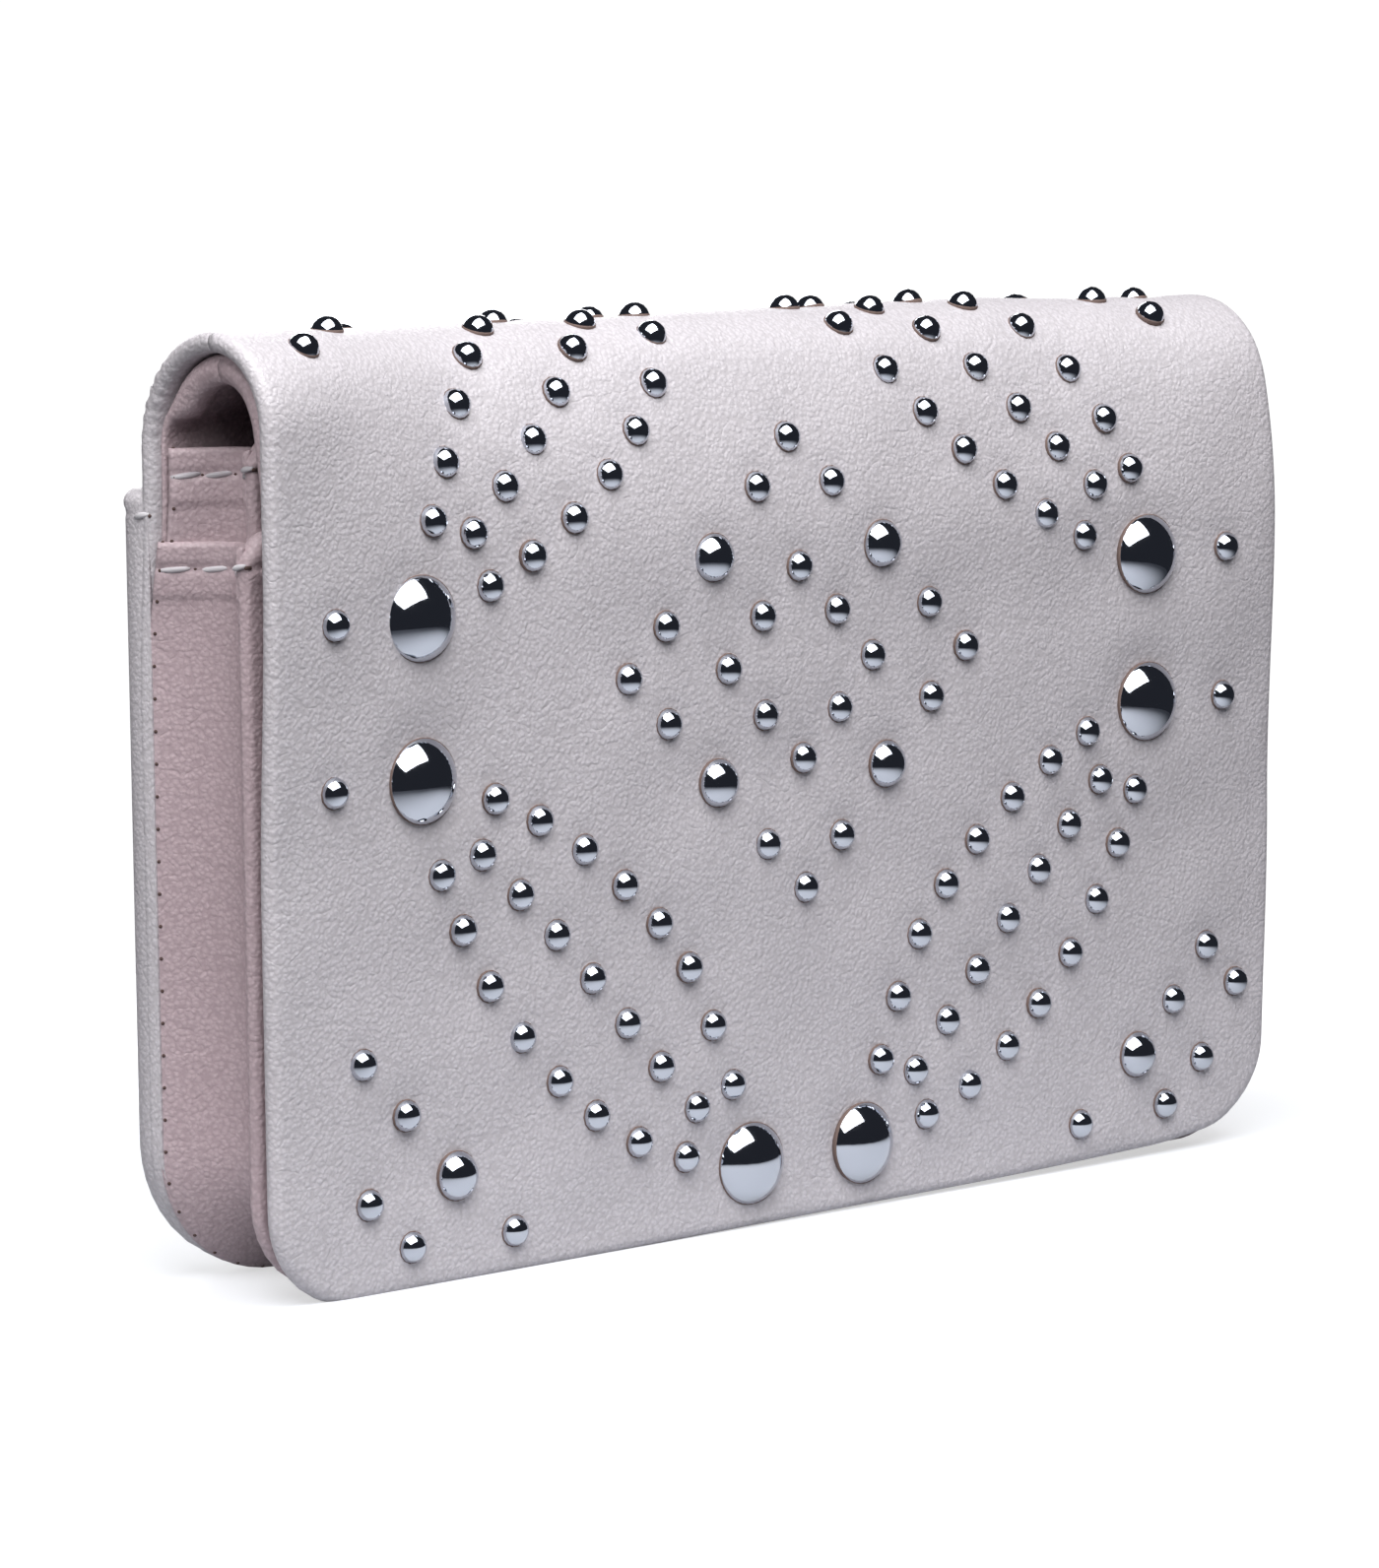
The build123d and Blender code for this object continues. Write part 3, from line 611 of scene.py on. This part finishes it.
def copies(name, base, places, axes, material):
    """One mesh of a base shape at every place; axes are (count, 3, 3), one row for each of the shape's own axes."""
    points, quads, tris = base
    all_points = places[:, None, :] + np.einsum("pi,cij->cpj", points, axes)
    shift = (np.arange(len(places)) * len(points))[:, None, None]
    faces = (quads[None] + shift).reshape(-1, 4).tolist() + (tris[None] + shift).reshape(-1, 3).tolist()
    made = finish_mesh(name, all_points.reshape(-1, 3), faces, material)
    print(name, len(places), "copies,", len(faces), "faces")
    return made


def stud_axes(at, seed):
    """For each place on the shell: across, along, and straight out, tilted a little at random."""
    _, _, h = trace(at[:, 1], RUNS, (FRONT, 0.0), np.pi / 2)
    r = np.random.default_rng(seed)
    out = unit(np.stack([0 * h, -np.sin(h), np.cos(h)], axis=-1) + r.normal(0, 0.018, (len(h), 3)))
    across = unit(np.cross(np.cross(out, [1.0, 0, 0]), out))
    return np.stack([across, np.cross(out, across), out], axis=1)


print("a small stud has", len(dome(2.0, 2.0, 14, 4)[0]), "points")

# %% All the studs and the painted shadow rims under them
DETAIL = {"small": (14, 4), "medium": (24, 7), "large": (36, 10)}      # points round, rings up
STUD_SUNK, RIM_SUNK = 0.38, 0.42
for size, (_, radius, height) in SIZES.items():
    base = dome(radius, height, *DETAIL[size])
    for part, keep in (("front", STUDS[size][:, 1] < CROWN_AT), ("back", STUDS[size][:, 1] >= CROWN_AT)):
        at = STUDS[size][keep]
        made = copies(size + "_studs_" + part, base, on_shell(at[:, 0], at[:, 1], np.full(len(at), STUD_SUNK)),
                      stud_axes(at, 3), mirror_nickel)
        # under each stud a slightly wider dark disc: painted shadow round its base
        rim = copies(size + "_stud_shadow_rims_" + part, dome(radius + 0.07, 0.46, DETAIL[size][0], 1),
                     on_shell(at[:, 0], at[:, 1], np.full(len(at), RIM_SUNK)), stud_axes(at, 3), painted_stud_shadow)
        for piece in (made, rim):
            if part == "front":
                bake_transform(piece)
            else:
                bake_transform(piece)
        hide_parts(size + ("_studs_flap" if part == "front" else "_studs_crown"))

# %% [markdown]
# ## Stitches
# A lockstitch shows as a row of short, plump dashes with a needle hole between two of them. A bump would look
# flat from the side, so one dash is a thread that bows up from one hole and down into the next: a ring carried
# along a half wave.

# %% One stitch, and rows of them
def dash(length, thick, around=6, steps=6):
    """A thread of that length and thickness: its middle line rises by 0.34 sin(pi t)^0.7, and its radius is
    0.62 + 0.38 sin(pi t) of the full one, so it swells towards the middle."""
    t = np.linspace(0, 1, steps)
    turn = np.linspace(0, 2 * np.pi, around, endpoint=False)
    r = thick / 2 * (0.62 + 0.38 * np.sin(np.pi * t))
    up_at = -0.10 + 0.34 * np.sin(np.pi * t) ** 0.7
    rings = np.stack([(t[:, None] - 0.5) * length + 0 * turn, r[:, None] * np.cos(turn),
                      up_at[:, None] + 0.8 * r[:, None] * np.sin(turn)], axis=-1)
    return closed(rings, [-0.5 * length - 0.1, 0, -0.2], [0.5 * length + 0.1, 0, -0.2])


PITCH = 4.0                     # from needle hole to needle hole
STITCH = dash(3.65, 0.78)
HOLE = dome(0.24, 0.55, 8, 2)
HOLE_SUNK, SEAM_HOLE_SUNK = 0.42, 0.38
print("one stitch has", len(STITCH[1]) + len(STITCH[2]), "faces")


# %% Rows along a line
def along_line(points, out, pitch, offset=0.5):
    """Places, directions and outward ways at even steps of the line's length. A line under one step long gets one
    short stitch."""
    long = np.concatenate([[0], np.cumsum(np.linalg.norm(np.diff(points, axis=0), axis=1))])
    count = max(1, int(long[-1] / pitch))
    at = (np.arange(count) + offset) * long[-1] / count
    place = np.stack([np.interp(at, long, points[:, i]) for i in range(3)], axis=-1)
    ahead = unit(np.stack([np.interp(at + 0.3, long, points[:, i]) - np.interp(at - 0.3, long, points[:, i])
                           for i in range(3)], axis=-1))
    away = np.stack([np.interp(at, long, out[:, i]) for i in range(3)], axis=-1)
    away = unit(away - (away * ahead).sum(-1, keepdims=True) * ahead)
    return place, np.stack([ahead * min(1, long[-1] / count / pitch), np.cross(away, ahead), away], axis=1)


def stitched(name, lines, body, also_holes=True):
    """Rows of stitches, and the needle holes between them, along lines of (points, outward ways)."""
    for kind, base, offset, material in (("stitches", STITCH, 0.5, thread), ("needle_holes", HOLE, 0.0, needle_hole)):
        if kind == "needle_holes" and not also_holes:
            continue
        found = [along_line(points, out, PITCH, offset) for points, out in lines]
        r = np.random.default_rng(len(name))        # every row of stitches has its own slants
        places, axes = (np.concatenate([f[i] for f in found]) for i in (0, 1))
        places = places - axes[:, 2] * (HOLE_SUNK if kind == "needle_holes" else 0.0)
        slant = r.normal(0.10, 0.03, len(places))[:, None]
        if kind == "stitches":
            axes[:, 0], axes[:, 1] = axes[:, 0] + slant * axes[:, 1], axes[:, 1] - slant * axes[:, 0]
        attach(copies(name + "_" + kind, base, places, axes, material), body)


# %% [markdown]
# ## Flat leather panels
# Both front panels, the slip pocket, the card pockets and the walls of the zip pocket are flat pieces with
# turned edges. A cube with bevels would have an even edge all round, but the top edge here is folded over:
# plump above its stitch line and pressed in along it. So each is a grid inside an outline with rounded corners,
# and its thickness is a formula of the distance from the edge and from the stitches.

# %% A turned-edge plate
def plate(name, node, material, bottom_radius, top_radius, plump=0.5, stitch_at=3.2, step=2.0, thick=None,
          shape=None, grow=0.0):
    """A plate in the box of a CAD node: half thickness = rolled edge times (half the thickness + plump top edge -
    groove along the stitches). It gives back the line of its stitches."""
    lo, hi = (np.array(c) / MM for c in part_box(node))
    half, tall = (hi[0] - lo[0]) / 2 + grow, hi[2] - lo[2]
    full = (hi[1] - lo[1]) if thick is None else thick
    cols, rows = spaced(2 * half, full / 2, step), spaced(tall, full / 2, step)
    near_top = tall - stitch_at
    closer = np.array([-1.6, -1.1, -0.6, -0.3, 0, 0.3, 0.6, 1.1, 1.6])
    rows = np.unique(np.concatenate([rows, near_top + closer]))
    z, across = np.meshgrid(rows, cols / half - 1, indexing="ij")
    x = across * np.minimum(half_at(z, half, bottom_radius), half_at(tall - z, half, top_radius))
    e = np.minimum(inside(x, z, half, bottom_radius), inside(x, tall - z, half, top_radius))
    groove = np.exp(-((tall - z - stitch_at) / 0.55) ** 2)
    extra = plump * smooth((stitch_at + 3 - (tall - z)) / 2.5) - 0.9 * plump * groove
    t = full / 2 * rolled(e, full) * (1 + extra * 0.7)
    middle = (lo[1] + hi[1]) / 2
    outer = np.stack([x, middle - t, z + lo[2]], axis=-1)
    inner = np.stack([x, middle + t, z + lo[2]], axis=-1)
    if shape is not None:
        outer, inner = shape(x, z, e, outer, inner)
    made = skin(name, outer, inner, material)
    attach(made, "pouch")
    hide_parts(node)
    x_line = np.linspace(-half + LINE_FROM_END, half - LINE_FROM_END, 60)
    return np.stack([x_line, 0 * x_line + lo[1], 0 * x_line + hi[2] - stitch_at], axis=-1)


def round_ends(line, past, y_from, y_to):
    """The stitch line carried round both ends of a plate, straight back from y_from to y_to, that many mm past
    its own end."""
    flat = np.zeros(5)
    edge = np.stack([flat + line[-1, 0] + past, np.linspace(y_from, y_to, 5), flat + line[0, 2]], axis=-1)
    return [(edge * [side, 1, 1], np.tile([side * 1.0, 0, 0], (5, 1))) for side in (-1, 1)]


LINE_FROM_END = 2.5
PINK, GREY = lining_leather, outer_leather
print("plates: the stitch line stops", LINE_FROM_END, "mm from the ends")

# %% The two front panels
outer_panel_line = plate("front_panel_outer", "outer_front_panel", PINK, 12.0, 5.0, stitch_at=4.4, thick=2.3, grow=0.5)
inner_panel_line = plate("front_panel_inner", "inner_front_panel", PINK, 10.0, 4.0, stitch_at=3.9, thick=1.9, grow=0.4)
away = np.tile([0.0, -1.0, 0.0], (60, 1))
for name, line, deep in (("outer_panel", outer_panel_line, 1.6), ("inner_panel", inner_panel_line, 1.4)):
    ends = round_ends(line, 2.55, line[0, 1] - 0.5, line[0, 1] + deep + 0.5)
    stitched(name, [(line - [0, 0.3, 0], away), *ends], "pouch")

# %% The slip pocket on the back
POCKET_HIGHER = 1.3             # its top, worn and pulled, stands this much above the CAD's


def pocket_shape(x, z, e, outer, inner):
    """The slip pocket is turned round the back's edge and stands off it by the pocket's room inside the seam: its
    inner face is at the back's + 0.1 + 1.35 (a smooth step 3.5 to 6.5 mm inside) - 3.3 at the wrapped edge."""
    hi = corner("back_slip_pocket", 1, 1)
    top = corner("back_slip_pocket", 1, 2) - z
    from_side = (np.abs(x).max() - np.abs(x)) * smooth((6 - top) / 3)
    wrap = 1 - smooth((np.maximum(e, from_side) - 0.4) / 1.2)
    front = BACK + 0.1 + smooth((e - 3.5) / 3) * 1.35 - 3.3 * wrap
    soft = 0.25 * smooth(e / 12) * np.sin(x / 16 + 0.7) * np.sin(z / 21 + 0.3)
    groove = np.exp(-((top - 3.2) / 0.55) ** 2)
    face = hi - (1 - rolled(e, 4.4)) * (1.9 + 0.9 * smooth((top - 1.5) / 3)) + soft - 0.3 * groove
    up_at = outer[..., 2] + POCKET_HIGHER * smooth(z / 80)
    return np.stack([x, np.maximum(face, front + 0.1), up_at], axis=-1), np.stack([x, front, up_at], axis=-1)


pocket_line = plate("slip_pocket", "back_slip_pocket", GREY, BACK_CORNER, 1.8, shape=pocket_shape, grow=0.25)
pocket_line[:, 1] = corner("back_slip_pocket", 1, 1)
pocket_line[:, 2] += POCKET_HIGHER
stitched("slip_pocket", [(pocket_line, -away), *round_ends(pocket_line, 2.42, BACK - 3.4, BACK - 0.3)], "pouch")

# %% Card pockets and the zip pocket's walls
for number in (1, 2, 3):
    line = plate("card_pocket_sheet_" + str(number), "card_pocket_" + str(number), PINK, 2.0, 2.0, plump=0.2, step=4.0)
    stitched("card_pocket_" + str(number), [(line, away)], "pouch", also_holes=False)
for side in ("front", "back"):
    plate("zip_pocket_wall_" + side, "zip_pocket_" + side, PINK, 2.3, 1.0, plump=0.1, step=4.0)

# %% [markdown]
# ## Folding gussets
# Each gusset is one strip of pink leather that runs down one side, across the floor and up the other side.
# It is folded inwards along its middle, so the pouch can open like a concertina. A curve with a bevel profile
# would twist at the corners, so the strip is a grid over the way round (p) and the way across (q): the place is
# the outline at p, moved inwards by a rounded fold that is deepest in the middle of q.

# %% The gusset strips
def gusset(name, node, y_from, y_to, radius, fold, flare, thick=0.9):
    """Place = outline(p) + fold sin(pi q)^1.25 inwards - flare q^1.6 outwards at the sides; half the thickness is
    laid each way along the normal. It gives back the lines of its top stitches and its back seam."""
    lo, hi = (np.array(c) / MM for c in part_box(node))
    half, tall = hi[0], hi[2] - lo[2]
    side, floor = tall - radius, 2 * (half - radius)
    runs = [(side, 0), (radius * np.pi / 2, np.pi / 2), (floor, 0), (radius * np.pi / 2, np.pi / 2), (side, 0)]
    total = sum(length for length, _ in runs)
    fine = np.concatenate([0.75 * (1 - np.cos(np.linspace(0, np.pi / 2, 6))), np.arange(1.1, 9, 0.45)])
    p = np.concatenate([fine, np.arange(9.5, side, 2.0), side + np.linspace(0, radius * np.pi / 2, 14),
                        np.arange(side + radius * np.pi / 2 + 3, total / 2, 4.0)])
    p = np.unique(np.round(np.concatenate([p, total - p]), 4))
    q = np.concatenate([[0, 0.006, 0.018, 0.034], np.linspace(0.06, 0.94, 26), [0.966, 0.982, 0.994, 1]])
    P, Q = np.meshgrid(p, q, indexing="ij")
    x, z, h = trace(P, runs, (-half, hi[2]), -np.pi / 2)
    left = -np.sin(h)
    bend = fold * np.sin(np.pi * Q) ** 1.25
    lower = smooth((hi[2] - z) / 60)
    wave = 0.18 * np.sin(P / 13.0 + 3 * Q) * np.sin(np.pi * Q)
    sway = (bend + wave) * (1 + 0.10 * lower)
    x = x + sway * left - flare * Q ** 1.6 * left
    z = z + np.cos(h) * sway
    nearer = 3.0 * smooth((z - 76) / 24) * Q ** 1.5       # follows the shell's end where that stands forward
    middle = np.stack([x, y_from + (y_to - y_from) * Q - nearer, z], axis=-1)
    n = grid_normals(middle, np.stack([np.sin(h), 0 * h, -np.cos(h)], axis=-1))
    top = np.minimum(P, total - P)
    turned = 1 + 0.75 * smooth((7.2 - top) / 0.9) - 0.85 * np.exp(-((top - 3.2) / 0.5) ** 2)
    from_side = np.minimum(Q, 1 - Q) * (y_to - y_from)
    t = (thick / 2 * turned * rolled(np.minimum(top, 5), 1.5) * rolled(from_side, thick))[..., None]
    made = skin(name, middle + n * t, middle - n * t, PINK)
    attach(made, "pouch")
    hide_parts(node)
    row = int(np.abs(top[:, 0] - 3.2).argmin())
    lines = [((middle + n * t)[i, 1:-1], n[i, 1:-1]) for i in (row, len(p) - 1 - row)]
    return lines, ((middle + n * t)[:, -4], n[:, -4])


PANEL_BACK = corner("outer_front_panel", 1, 1)
INNER_BACK = corner("inner_front_panel", 1, 1)
SEAT = BACK - SHELL - LINING
outer_lines, outer_seam = gusset("gusset_outer", "outer_gusset", PANEL_BACK - 0.9, SEAT + 0.9, 16.0, 5.6, 1.1)
inner_lines, inner_seam = gusset("gusset_inner", "inner_gusset", INNER_BACK - 0.7, SEAT + 0.35, 14.0, 5.0, 3.7)
stitched("outer_gusset", outer_lines, "pouch")
stitched("inner_gusset", inner_lines, "pouch")

# %% Needle holes down the back seams
for name, (seam, out) in (("outer_seam_holes", outer_seam), ("inner_seam_holes", inner_seam)):
    place, axes = along_line(seam, out, PITCH, 0.0)
    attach(copies(name, HOLE, place - axes[:, 2] * SEAM_HOLE_SUNK, axes, needle_hole), "pouch")

# %% [markdown]
# ## The zip's tapes, and the hidden hardware
# The zip's tapes are woven polyester: two thin strips that part a little at their tops. The teeth, slider, pull
# and the magnetic snap keep their CAD shapes, which are exact, and get a plated finish.

# %% Zip tapes
for side, way in (("front", -1), ("back", 1)):
    lo, hi = (np.array(c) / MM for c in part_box("zip_tape_" + side))
    middle_y = (corner("zip_tape_front", 0, 1) + corner("zip_tape_back", 1, 1)) / 2
    t, across = np.meshgrid(np.linspace(0, 1, 22), np.linspace(lo[0] + 0.3, hi[0] - 0.3, 110), indexing="ij")
    y = middle_y + way * (0.45 + 0.35 * np.exp(-((t - 1) / 0.12) ** 2))
    z = lo[2] + (hi[2] - lo[2] - 0.1) * t
    outer = np.stack([across, y + way * 0.18, z], axis=-1)
    inner = np.stack([across, y - way * 0.18, z], axis=-1)
    tape = skin("woven_zip_tape_" + side, outer, inner, woven_tape)
    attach(tape, "pouch")
    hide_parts("zip_tape_" + side)

# %% Plated finishes on the metal nodes
PLATED = ("snap_socket", "snap_socket_washer", "snap_stud", "snap_stud_washer", "zip_pull")
TUMBLED = ("zip_teeth", "zip_stops", "zip_slider")
for node in PLATED + TUMBLED:
    mesh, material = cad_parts[node].data, satin_nickel if node in PLATED else cast_zip_metal
    if not mesh.materials:
        mesh.materials.append(material)
    for i in range(len(mesh.materials)):
        mesh.materials[i] = material
print("metal finishes on", len(PLATED + TUMBLED), "nodes")

# %% [markdown]
# ## Table, room and light
# The wallet stands on a small pale table in a dim room, under one large softbox, with two weaker ones at its
# left and behind it. The table throws light back up, and the studs show all of it: the softbox as a bright
# patch, the dark room, and the pale table below. Room and table are plain white only where they are looked at
# directly, so that the ground stays plain while the studs still mirror a dark room. Where the studs mirror the
# table, its colour is painted darker from the middle to the edge and it glows a little more near the middle:
# painted falloff of the softbox's light.

# %% The table
turn = np.linspace(0, 2 * np.pi, 96, endpoint=False)
rings = np.array([0.0001, 0.04, 0.08, 0.12, 0.16, 0.20, 0.24]) / MM
TABLE_DROP = 0.35               # the soft edges press a little below the CAD's floor line
disc = np.stack([rings[:, None] * np.cos(turn), rings[:, None] * np.sin(turn),
                 0 * rings[:, None] * turn - TABLE_DROP], axis=-1)
k = np.arange(disc.shape[0] * len(turn)).reshape(-1, len(turn))
faces = np.stack([k[:-1], k[1:], np.roll(k, -1, axis=1)[1:], np.roll(k, -1, axis=1)[:-1]], axis=-1).reshape(-1, 4)
table_top, tree, shader = start("matt_white_table", "#f7f8fb", 0.75)
place = add(tree, "TexCoord").outputs["Object"]
away_from = add(tree, "VectorMath", {0: place}, operation="LENGTH").outputs["Value"]
far = add(tree, "MapRange", {"Value": away_from, "From Min": 0.05, "From Max": 0.22}, interpolation_type="SMOOTHSTEP")
# painted shade: the table's colour goes from #b0b3b9 in the middle to #2c2f36 at its edge, as the softbox's light
# would fall off
ground = add(tree, "Mix", {0: far.outputs["Result"], 6: linear("#b0b3b9"), 7: linear("#2c2f36")}, data_type="RGBA")
glow = add(tree, "MapRange", {"Value": away_from, "From Min": 0.09, "From Max": 0.18, "To Min": 0.58, "To Max": 1.1},
           interpolation_type="SMOOTHSTEP")
path = add(tree, "LightPath")
# painted reflection: in glossy rays the table glows up to 0.22 near its middle, so the studs mirror it brighter there
shine = add(tree, "MapRange", {"Value": away_from, "From Min": 0.05, "From Max": 0.22, "To Min": 0.22, "To Max": 0.0},
            interpolation_type="SMOOTHSTEP")
shine = add(tree, "Math", {0: shine.outputs["Result"], 1: path.outputs["Is Glossy Ray"]}, operation="MULTIPLY")
lift = add(tree, "Math", {0: glow.outputs["Result"], 1: path.outputs["Is Camera Ray"], 2: shine.outputs[0]},
           operation="MULTIPLY_ADD")
shader.inputs["Emission Color"].default_value = (1, 1, 1, 1)
tree.links.new(ground.outputs[2], shader.inputs["Base Color"])
tree.links.new(lift.outputs[0], shader.inputs["Emission Strength"])
table = finish_mesh("table", disc.reshape(-1, 3), faces, table_top)
table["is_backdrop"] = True
print("table radius", rings[-1] * MM, "m")

# %% The room
world = bpy.data.worlds.new("room")
bpy.context.scene.world = world
world.use_nodes = True
tree = world.node_tree
tree.nodes.clear()
seen = add(tree, "LightPath").outputs["Is Camera Ray"]
colour = add(tree, "Mix", {0: seen, 6: linear("#2b2d33"), 7: (1.05, 1.05, 1.05, 1)}, data_type="RGBA")
ground = add(tree, "Background", {"Color": colour.outputs[2], "Strength": 1.0})
add(tree, "OutputWorld", {"Surface": ground.outputs[0]})
print("world:", world.name)


# %% The softboxes
def softbox(name, direction, distance, size, power):
    """A rectangular softbox in that direction and distance from a point 60 mm above the table, facing it."""
    lamp = bpy.data.lights.new(name, "AREA")
    lamp.shape, (lamp.size, lamp.size_y), lamp.energy = "RECTANGLE", size, power
    d = unit(np.array(direction, float))
    side = unit(np.cross([0, 1, 0.001], d))
    m = np.eye(4)
    m[:3, :3] = np.stack([side, np.cross(d, side), d], axis=1)
    m[:3, 3] = d * distance + [0, 0, 0.06]
    made = bpy.data.objects.new(name, lamp)
    made.matrix_world = Matrix(m.tolist())
    bpy.context.scene.collection.objects.link(made)
    return made


softbox("softbox_overhead", (-0.25, -0.42, 0.87), distance=0.62, size=(0.78, 0.66), power=8.7)
softbox("softbox_back", (0.50, 0.85, 0.20), distance=0.9, size=(0.6, 0.5), power=4.0)
left = softbox("softbox_left", (-0.95, -0.05, 0.30), distance=0.85, size=(0.4, 0.45), power=1.7)
left.visible_glossy = False         # it fills the shadows, but no stud mirrors it
bpy.context.scene.view_settings.view_transform = "Standard"
print("softboxes:", len(bpy.data.lights))

# %% Write the sizes and finish
new_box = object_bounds()
for label, box in (("cad", cad_box), ("visual", new_box)):
    print(label, [tuple(round(v, 4) for v in c) for c in box])
